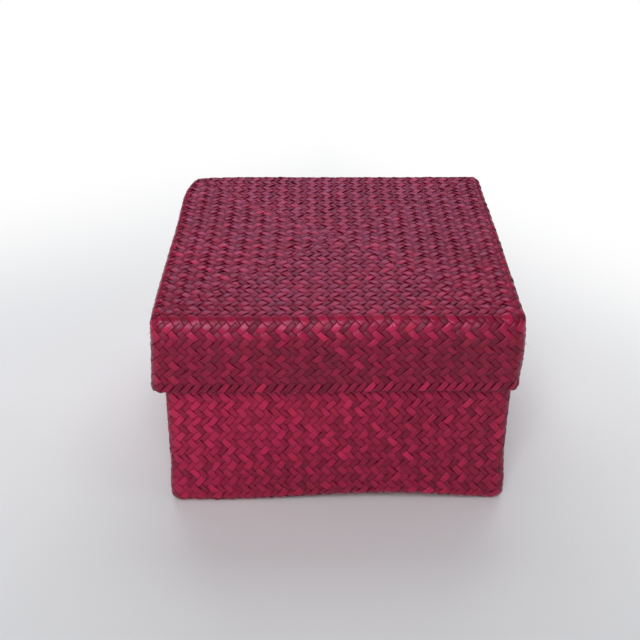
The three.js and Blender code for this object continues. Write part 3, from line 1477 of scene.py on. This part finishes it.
@dataclass
class BoxHalf:
    """The lid or the base: outer plait, lining, folded rim and the cane inside it.

    Attributes:
        half: Which of the two it is.
        layers: Depths of the double wall.
        corner: Radius of the upright corners.
        rise: 1 where the walls stand on the panel, -1 where they hang from it.
        row_share: Height of a row on the wall, as a share of its width.
        edge: Radius of the edge round its panel.
        slouch: Its softness.
        twill: Pattern of the outer plait.
        lining_twill: Pattern of the lining.
        seed: Seed of its chances.
        tone: Mean tone of its strips.
        turn_about: How much lighter than the others its strips laid face out are.
        sideways_slope: How much the tone of its walls changes from left to right, for each metre.
        panel_light: Painted light making its panel lighter than its walls, by the side that shows.
        painted_edge_light: Painted highlight where its strips turn over the edge, by the side that
            shows.
        rim_light: Painted light: how much lighter its rim is than its walls.
        upward_slope: How much the tone of its walls changes upwards, for each metre.
        loose: How many hairs have split from its strips.
        marked: Places of the hairs that stand out most.
        strips_a_side: Outer strips along each side, one way.
        tone_spread: How much the tone changes from strip to strip.
        tuck: How far the outer strips run on under the rim.
        shade_above: How far above the rim the painted shade on their tucked ends starts.
        lining_strips_a_side: Strips of the lining along each side, one way.
        lining_tone: Mean tone of the lining's strips.
        lining_turn_about: How much lighter its strips laid face out are than the others.
        lining_tone_spread: How much its tone changes from strip to strip.
        lining_tuck: How far its strips run on under the rim.
        lining_lift: How far its strips rise from the middle of the plait.
    """

    half: Half
    layers: Layers
    corner: float
    rise: float
    row_share: float
    edge: float
    slouch: Slouch
    twill: Twill
    lining_twill: Twill
    seed: int
    tone: float
    turn_about: float
    sideways_slope: float
    panel_light: dict[LeafSide, float] = field(default_factory=dict)
    painted_edge_light: dict[LeafSide, float] = field(default_factory=dict)
    rim_light: float = 0.0
    upward_slope: float = 0.0
    loose: int = 10
    marked: tuple[tuple[int, float, float], ...] = ()
    strips_a_side: int = 40
    tone_spread: float = 0.065
    tuck: float = 3.2 * MM
    shade_above: float = 0.4 * MM
    lining_strips_a_side: int = 26
    lining_tone: float = 0.50
    lining_turn_about: float = 0.16
    lining_tone_spread: float = 0.10
    lining_tuck: float = 1.2 * MM
    lining_lift: float = 0.36 * MM

    @staticmethod
    def two_tones(tone: float, turn_about: float) -> dict[LeafSide, float]:
        """Mean tone of strips laid face out and back out."""
        return {side: tone + turn_about * side.half_step for side in LeafSide}

    def skin(self, depth: float, edge: float) -> SoftShell:
        """The skin at a depth inside the half's outside.

        Args:
            depth: Depth below the outside.
            edge: Radius of the edge round the panel, outside.

        Returns:
            The skin.
        """
        name = self.half.value
        low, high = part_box(f"{name}_outer_weave")
        rim_low, rim_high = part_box(f"{name}_rim_fold")
        panel = low[2] if self.rise > 0 else high[2]
        height = rim_high[2] - panel if self.rise > 0 else panel - rim_low[2]
        return SoftShell(
            half_width=(high[0] - low[0]) / 2 - depth,
            height=height - depth,
            corner=max(self.corner - depth, LEAST_RADIUS),
            edge=edge - depth,
            panel_z=panel + self.rise * depth,
            rise=self.rise,
            row_share=self.row_share,
            slouch=self.slouch,
        )

    def build(self, strip: Leaf, lining: Leaf, cane: bpy.types.Material) -> None:
        """Makes all the pieces of this half.

        Args:
            strip: Material of the outer strips and the rim, by the side that shows.
            lining: Material of the lining, likewise.
            cane: Material of the hoop inside the rim.
        """
        name = self.half.value
        outer_skin = self.skin(self.layers.outer_middle, self.edge)
        outer = Plait(
            name=f"{name}_plait",
            shell=outer_skin,
            per_side=self.strips_a_side,
            reach=outer_skin.height - self.layers.rim_depth + self.tuck,
            tucked=outer_skin.height - self.layers.rim_depth - self.shade_above,
            twill=self.twill,
            strip=StripSize(),
            tones=self.two_tones(self.tone, self.turn_about),
            tone_spread=self.tone_spread,
            seed=self.seed,
            sideways_slope=self.sideways_slope,
            upward_slope=self.upward_slope,
            panel_light=self.panel_light,
            painted_edge_light=self.painted_edge_light,
        )
        outer.weave(strip, self.half, Slot.OUTER, f"{name}_outer_weave")
        inner_skin = self.skin(self.layers.lining_middle, self.layers.edge)
        inner = Plait(
            name=f"{name}_lining",
            shell=inner_skin,
            per_side=self.lining_strips_a_side,
            reach=inner_skin.height - self.layers.rim_depth + self.lining_tuck,
            tucked=inner_skin.height - self.layers.rim_depth,
            twill=self.lining_twill,
            strip=StripSize(lift=self.lining_lift),
            tones=self.two_tones(self.lining_tone, self.lining_turn_about),
            tone_spread=self.lining_tone_spread,
            seed=self.seed + 1,
        )
        inner.weave(lining, self.half, Slot.LINING, f"{name}_lining_weave")
        outside = self.skin(0.0, self.edge)
        fold = RimFold(
            name=f"{name}_rim_ends",
            plait=outer,
            layers=self.layers,
            outside=outside,
            # Painted light on the rim: its strips are lighter than the walls'.
            tone=self.tone + self.rim_light,
            seed=self.seed + 2,
        )
        fold.weave(strip, self.half, f"{name}_rim_fold")
        hoop = CaneHoop(outside, self.layers).build(f"{name}_rim_hoop")
        dress(hoop, cane, self.half, Slot.CANE, f"{name}_rim_cane")
        deepest = outer_skin.down_at(outer_skin.height - self.layers.rim_depth)
        hairs = LooseFibres(outer_skin, self.loose, self.marked, deepest, seed=self.seed + 3)
        dress(hairs.build(f"{name}_loose_fibres"), strip[LeafSide.BACK], self.half, Slot.OUTER)


@dataclass(frozen=True)
class CaneHoop:
    """Hoop of split cane inside the rim fold, bent with the half that it stiffens.

    Attributes:
        outside: The half's outer skin.
        layers: Depths of the double wall.
        thickness: Thickness across its flat faces.
        depth: Width along the wall.
        stops: Places round the hoop on each face.
        flat: Half the flat of its narrow sides, as a share of its thickness.
        bevel: Depth of its bevels, likewise.
    """

    outside: SoftShell
    layers: Layers
    thickness: float = 0.8 * MM
    depth: float = 4.2 * MM
    stops: int = 40
    flat: float = 0.28
    bevel: float = 0.22

    def profile(self) -> list[tuple[float, float]]:
        """Corners of the section: depth inside the outside and depth below the panel."""
        middle = self.layers.rim_thickness / 2
        foot = self.outside.height - middle + self.thickness / 2
        thin = self.flat * self.thickness
        full = self.thickness / 2
        bevel = self.bevel * self.thickness
        out = [(middle - thin, foot), (middle + thin, foot), (middle + full, foot - bevel)]
        head = foot - self.depth
        back = [(middle + full, head + bevel), (middle + thin, head), (middle - thin, head)]
        return out + back + [(middle - full, head + bevel), (middle - full, foot - bevel)]

    def build(self, name: str) -> bpy.types.Object:
        """Makes the hoop.

        Args:
            name: Name of the object.

        Returns:
            The new object.
        """
        shell = self.outside
        turn = np.arange(FACES * self.stops)
        face = turn // self.stops
        share = (turn % self.stops + 0.5) / self.stops * 2 - 1
        rings = []
        for inset, depth in self.profile():
            half = np.full(len(turn), shell.half_width - inset)
            corner = np.full(len(turn), max(shell.corner - inset, LEAST_RADIUS))
            place, _ = shell.ring(face, share * (half - ARC_SAVING * corner), half, corner)
            level = np.full(len(turn), shell.panel_z + shell.rise * depth)
            rings.append(shell.slouch.give(np.column_stack([place, level])))
        count, corners = len(turn), len(rings)
        points = np.stack(rings, 1).reshape(-1, 3)
        faces = []
        for step in range(count):
            here, after = step * corners, (step + 1) % count * corners
            for corner in range(corners):
                other = (corner + 1) % corners
                loop = (here + corner, after + corner, after + other, here + other)
                faces.append(loop if shell.rise < 0 else loop[::-1])
        mesh = bpy.data.meshes.new(name)
        mesh.from_pydata(points.tolist(), [], faces)
        made = bpy.data.objects.new(name, mesh)
        bpy.context.scene.collection.objects.link(made)
        return made


@dataclass(frozen=True)
class Softbox:
    """A square soft light that looks at the box.

    Attributes:
        name: Name of the light.
        place: Where it hangs.
        size: Length of its side.
        power: Its power in watts.
        throw: What it gives.
        tint: Its colour.
        target: Height of the place over the middle of the floor that it looks at.
    """

    name: str
    place: Triple
    size: float
    power: float
    throw: Throw = Throw.BOTH
    tint: Triple = (1.0, 1.0, 1.0)
    target: float = 60.0 * MM

    def hang(self) -> None:
        """Hangs the light."""
        data = bpy.data.lights.new(self.name, "AREA")
        data.size = self.size
        data.energy = self.power
        data.color = self.tint
        made = bpy.data.objects.new(self.name, data)
        made.location = self.place
        made.visible_camera = False
        made.visible_diffuse = self.throw is not Throw.GLINT
        made.visible_glossy = self.throw is not Throw.LIGHT
        towards = Vector((0.0, 0.0, self.target)) - Vector(self.place)
        made.rotation_euler = towards.to_track_quat("-Z", "Y").to_euler()
        bpy.context.scene.collection.objects.link(made)


VIOLET = (1.0, 0.85, 1.25)
LIGHTS = (
    Softbox("back_light", (0.0, 1.1, 1.35), 1.6, 15.9, Throw.LIGHT),
    Softbox("back_glint", (0.0, 1.3, 0.95), 0.9, 3.3, Throw.GLINT, VIOLET),
    Softbox("front_light", (-0.1, -0.95, 1.05), 0.55, 6.0, Throw.LIGHT),
    Softbox("front_glint", (-0.1, -1.3, 0.95), 1.2, 24.0, Throw.GLINT),
    Softbox("low_light", (-0.35, -1.55, 0.4), 0.7, 5.9),
    Softbox("right_light", (0.9, 0.5, 1.3), 0.9, 1.0),
    Softbox("low_right_light", (1.2, -0.5, 0.8), 0.7, 1.4),
    Softbox("left_light", (-1.1, -0.1, 0.9), 0.7, 1.1),
)


@dataclass(frozen=True)
class Stage:
    """Pale floor that runs out to white, soft lights and the camera of the photograph.

    Attributes:
        lens: Focal length on the camera's frame.
        sensor: Width of that frame.
        pitch: How far the camera looks down, in degrees.
        aim: Point on the optical axis: the near edge of the lid's top.
        distance: From the camera to that point.
        near_clip: Nearest distance that the camera sees.
        floor_size: Length of the floor's sides.
        floor_drop: How far the floor lies below the frame's own level.
        paper_tint: Colour of the floor's paper.
        near_grey: Brightness of the paper in front of the box, darkened there as painted shade.
        far_grey: Its brightness behind.
        grey_start: Place along y where it is near_grey.
        grey_end: Place where it is far_grey.
        fade_slant: How much nearer the white comes on the right, for each length aside.
        fade_aside: How much nearer it comes on both sides, likewise.
        fade_start: Distance behind the middle where the white starts.
        fade_end: Distance where all is white.
        ring_start: Distance all round where the floor starts to look white.
        ring_end: Distance where all looks white.
        room: Brightness of the room.
        room_tint: Colour of the room.
        seen: Brightness of the room to the camera.
        mirrored: Brightness of the room in reflections.
        lights: The soft lights.
    """

    lens: float = 58.7
    sensor: float = 36.0
    pitch: float = 29.65
    aim: Triple = (-9.6 * MM, -100.0 * MM, 125.0 * MM)
    distance: float = 546.6 * MM
    near_clip: float = 10.0 * MM
    floor_size: float = 6.0
    floor_drop: float = 0.2 * MM
    paper_tint: Triple = (0.985, 1.0, 1.025)
    near_grey: float = 0.68
    far_grey: float = 0.965
    grey_start: float = -0.30
    grey_end: float = 0.02
    fade_slant: float = 0.26
    fade_aside: float = 0.84
    fade_start: float = 0.20
    fade_end: float = 0.56
    ring_start: float = 0.55
    ring_end: float = 1.0
    room: float = 0.175
    room_tint: Colour = (0.97, 0.98, 1.0, 1.0)
    seen: float = 1.0
    mirrored: float = 0.05
    lights: tuple[Softbox, ...] = LIGHTS

    def camera(self) -> None:
        """Sets the camera."""
        data = bpy.data.cameras.new("photo_camera")
        data.lens = self.lens
        data.sensor_width = self.sensor
        data.clip_start = self.near_clip
        made = bpy.data.objects.new("photo_camera", data)
        bpy.context.scene.collection.objects.link(made)
        pitch = math.radians(self.pitch)
        look = Vector((0.0, math.cos(pitch), -math.sin(pitch)))
        made.location = Vector(self.aim) - look * self.distance
        made.rotation_euler = (math.pi / 2 - pitch, 0.0, 0.0)
        bpy.context.scene.camera = made

    def paper(self, desk: NodeDesk, y: object) -> bpy.types.Node:
        """Adds paper with painted shade: darker in front of the box.

        Args:
            desk: The floor's nodes.
            y: Socket of the place along y.

        Returns:
            The paper's shader.
        """
        # Painted shade: the paper darkens towards the front.
        grey = desk.span(y, self.grey_start, self.grey_end)
        grey.inputs["To Min"].default_value = self.near_grey
        grey.inputs["To Max"].default_value = self.far_grey
        cool = desk.add("ShaderNodeVectorMath", operation="SCALE")
        cool.inputs[0].default_value = self.paper_tint
        desk.link(grey.outputs["Result"], cool.inputs["Scale"])
        paper = desk.add("ShaderNodeBsdfDiffuse")
        desk.link(cool.outputs[0], paper.inputs["Color"])
        return paper

    def floor_material(self) -> bpy.types.Material:
        """Grey paper near the box that runs out to plain white behind it."""
        desk = NodeDesk("floor_paper")
        place = desk.add("ShaderNodeTexCoord").outputs["Object"]
        parts = desk.add("ShaderNodeSeparateXYZ")
        desk.link(place, parts.inputs[0])
        rays = desk.add("ShaderNodeLightPath")
        smooth = {"interpolation_type": "SMOOTHSTEP"}

        slant = desk.add("ShaderNodeVectorMath", operation="DOT_PRODUCT")
        desk.link(place, slant.inputs[0])
        slant.inputs[1].default_value = (self.fade_slant, 1.0, 0.0)
        aside = desk.math("ABSOLUTE", parts.outputs["X"], 0.0)
        aside = desk.math("MULTIPLY", aside, self.fade_aside)
        behind = desk.join("ADD", slant.outputs["Value"], aside)
        fade = desk.span(behind, self.fade_start, self.fade_end, **smooth).outputs["Result"]
        seen = desk.join("MAXIMUM", rays.outputs["Is Camera Ray"], rays.outputs["Is Glossy Ray"])
        away = desk.add("ShaderNodeVectorMath", operation="LENGTH")
        desk.link(place, away.inputs[0])
        ring = desk.span(away.outputs["Value"], self.ring_start, self.ring_end, **smooth)
        round_about = desk.join("MULTIPLY", ring.outputs["Result"], rays.outputs["Is Camera Ray"])

        white = desk.add("ShaderNodeEmission")
        white.inputs["Color"].default_value = (1.0, 1.0, 1.0, 1.0)
        mixed = desk.add("ShaderNodeMixShader")
        share = desk.join("MAXIMUM", desk.join("MULTIPLY", fade, seen), round_about)
        desk.link(share, mixed.inputs[0])
        desk.link(self.paper(desk, parts.outputs["Y"]).outputs[0], mixed.inputs[1])
        desk.link(white.outputs[0], mixed.inputs[2])
        desk.link(mixed.outputs[0], desk.output.inputs["Surface"])
        return desk.material

    def floor(self) -> None:
        """Lays the floor."""
        reach = self.floor_size / 2
        mesh = bpy.data.meshes.new("floor")
        corners = [(-reach, -reach, 0), (reach, -reach, 0), (reach, reach, 0), (-reach, reach, 0)]
        mesh.from_pydata(corners, [], [(0, 1, 2, 3)])
        made = bpy.data.objects.new("floor", mesh)
        made.location.z = -self.floor_drop
        mesh.materials.append(self.floor_material())
        bpy.context.scene.collection.objects.link(made)

    def world(self) -> None:
        """Sets a soft grey room that looks white to the camera."""
        world = bpy.data.worlds.new("studio")
        bpy.context.scene.world = world
        world.use_nodes = True
        tree = world.node_tree
        tree.nodes.clear()
        output = tree.nodes.new("ShaderNodeOutputWorld")
        room = tree.nodes.new("ShaderNodeBackground")
        room.inputs["Color"].default_value = self.room_tint
        rays = tree.nodes.new("ShaderNodeLightPath")
        level: bpy.types.NodeSocket | None = None
        for ray, strength in (("Is Camera Ray", self.seen), ("Is Glossy Ray", self.mirrored)):
            step = tree.nodes.new("ShaderNodeMath")
            step.operation = "MULTIPLY_ADD"
            tree.links.new(rays.outputs[ray], step.inputs[0])
            step.inputs[1].default_value = strength - self.room
            step.inputs[2].default_value = self.room
            if level is not None:
                tree.links.new(level, step.inputs[2])
            level = step.outputs[0]
        tree.links.new(level, room.inputs["Strength"])
        tree.links.new(room.outputs[0], output.inputs["Surface"])

    def build(self) -> None:
        """Sets up the whole stage."""
        self.camera()
        self.floor()
        self.world()
        for light in self.lights:
            light.hang()
        bpy.context.scene.view_settings.view_transform = "Standard"
        LOG.info("stage set")


def main() -> None:
    """Builds the stage and both halves of the box."""
    logging.basicConfig(level=logging.INFO, format="%(name)s: %(message)s")
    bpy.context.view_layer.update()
    Stage().build()
    layers = Layers()
    face, back, dull = (leaf.material() for leaf in (CRIMSON_FACE, CRIMSON_BACK, DULL_CRIMSON))
    strip = {LeafSide.FACE: face, LeafSide.BACK: back}
    lining = {side: dull for side in LeafSide}
    cane = CaneFinish().material()
    lid_low, lid_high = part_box("lid_outer_weave")
    base_low, base_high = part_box("base_outer_weave")
    lid_half = (lid_high[0] - lid_low[0]) / 2
    lid = BoxHalf(
        half=Half.LID,
        layers=layers,
        corner=layers.lid_corner,
        rise=-1.0,
        row_share=0.8826,
        edge=4.3 * MM,
        slouch=Slouch(
            half_width=lid_half,
            flare=2.4 * MM,
            crown=1.3 * MM,
            sag=1.6 * MM,
            far_left=3.2 * MM,
            belly_right=1.0 * MM,
            brow=2.6 * MM,
            flare_top=lid_high[2],
            flare_fall=lid_high[2] - lid_low[2],
        ),
        twill=Twill(phase=1),
        lining_twill=Twill(phase=0),
        seed=11,
        tone=0.30,
        turn_about=0.08,
        sideways_slope=-1.8,
        panel_light={LeafSide.FACE: 0.07, LeafSide.BACK: 0.0},
        painted_edge_light={LeafSide.FACE: 0.44, LeafSide.BACK: 0.04},
        rim_light=0.14,
        marked=((0, 0.0, 3.0 * MM), (0, -94.0 * MM, 17.0 * MM)),
    )
    base = BoxHalf(
        half=Half.BASE,
        layers=layers,
        corner=layers.base_corner,
        rise=1.0,
        row_share=1.105,
        edge=layers.edge,
        slouch=Slouch(half_width=lid_half, arch=4.6 * MM, bulge=2.0 * MM, foot_right=1.7 * MM),
        twill=Twill(phase=3),
        lining_twill=Twill(phase=0),
        seed=31,
        tone=0.60,
        turn_about=0.11,
        sideways_slope=-2.2,
        upward_slope=4.5,
    )
    for half in (lid, base):
        half.build(strip, lining, cane)


if __name__ == "__main__":
    main()
